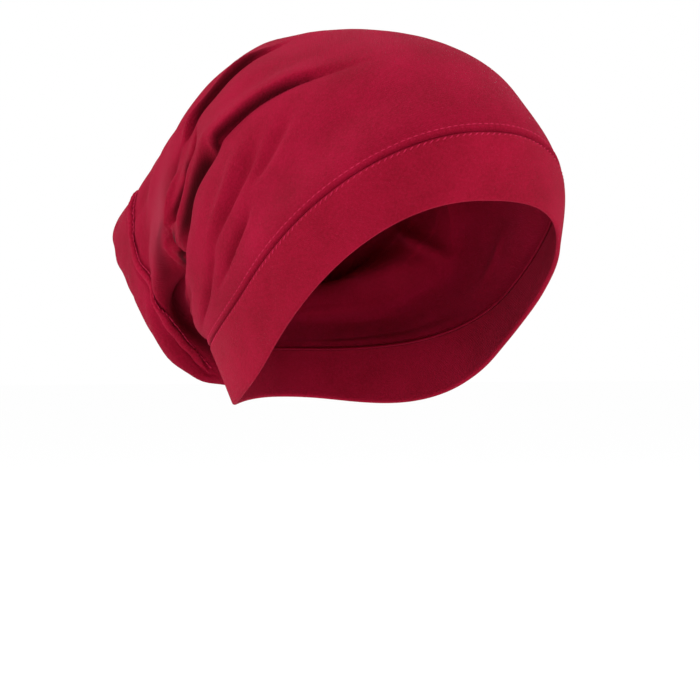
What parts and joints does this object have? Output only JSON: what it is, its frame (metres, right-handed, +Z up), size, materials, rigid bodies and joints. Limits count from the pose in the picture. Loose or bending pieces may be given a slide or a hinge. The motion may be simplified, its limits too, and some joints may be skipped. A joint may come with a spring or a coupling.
{
  "type": "hijab underscarf cap",
  "caption": "Stretch jersey underscarf cap in deep raspberry red with a folded band round the face and a gathered crown that slouches into a pouch behind the head.",
  "frame": {"origin": "top of the wearer's head, where the inside of the crown rests on it", "axes": "+Z up, the opening for the face looks along -Y, the pouch hangs behind along +Y and the wearer's right ear is on the -X side"},
  "size_m": [0.1528, 0.2477, 0.1681],
  "materials": {
    "band_jersey": "matt cotton and elastane jersey, two layers",
    "crown_jersey": "matt cotton and elastane jersey, one layer",
    "seam_jersey": "matt jersey edges sewn together"
  },
  "bodies": {
    "root": {"front_band": "band_jersey", "crown": "crown_jersey", "back_seam": "seam_jersey"}
  },
  "joints": []
}
